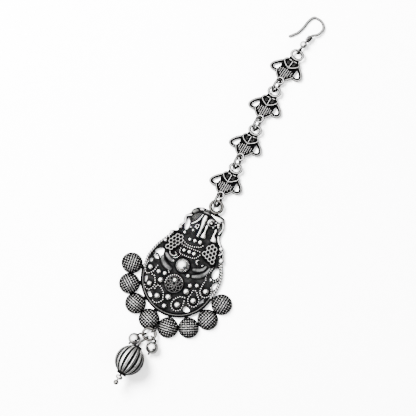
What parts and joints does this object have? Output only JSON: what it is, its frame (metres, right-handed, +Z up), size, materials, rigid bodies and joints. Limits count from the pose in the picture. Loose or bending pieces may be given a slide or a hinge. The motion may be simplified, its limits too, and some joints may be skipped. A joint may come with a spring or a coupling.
{
  "type": "maang tikka",
  "caption": "Forehead ornament: wire hook, chain of cast flower links, relief pendant ringed by woven domes, and a drop with a ribbed melon bead.",
  "frame": {"origin": "under the middle of the whole piece's box, on the surface it lies on", "axes": "+Y from the melon bead to the hook, +X to the wearer's-left side of the front as seen from above, +Z up from the back, towards the decorated front"},
  "size_m": [0.0444, 0.1544, 0.0109],
  "materials": {
    "oxidised_silver": "cast and granulated silver, black in its recesses and bright on its high places",
    "polished_silver": "polished silver wire and beads"
  },
  "bodies": {
    "root": {"pendant": "oxidised_silver", "flower_link_1": "oxidised_silver", "flower_link_2": "oxidised_silver", "flower_link_3": "oxidised_silver", "flower_link_4": "oxidised_silver", "melon_bead": "oxidised_silver", "drop_ring": "polished_silver", "hook_bead": "polished_silver", "hook_coil": "polished_silver", "hook_wire": "polished_silver", "jump_ring_1": "polished_silver", "jump_ring_2": "polished_silver", "jump_ring_3": "polished_silver", "jump_ring_4": "polished_silver", "left_ball": "polished_silver", "left_ball_pin": "polished_silver", "melon_pin": "polished_silver", "melon_spacer_bead": "polished_silver", "right_ball": "polished_silver", "right_ball_pin": "polished_silver"}
  },
  "joints": []
}
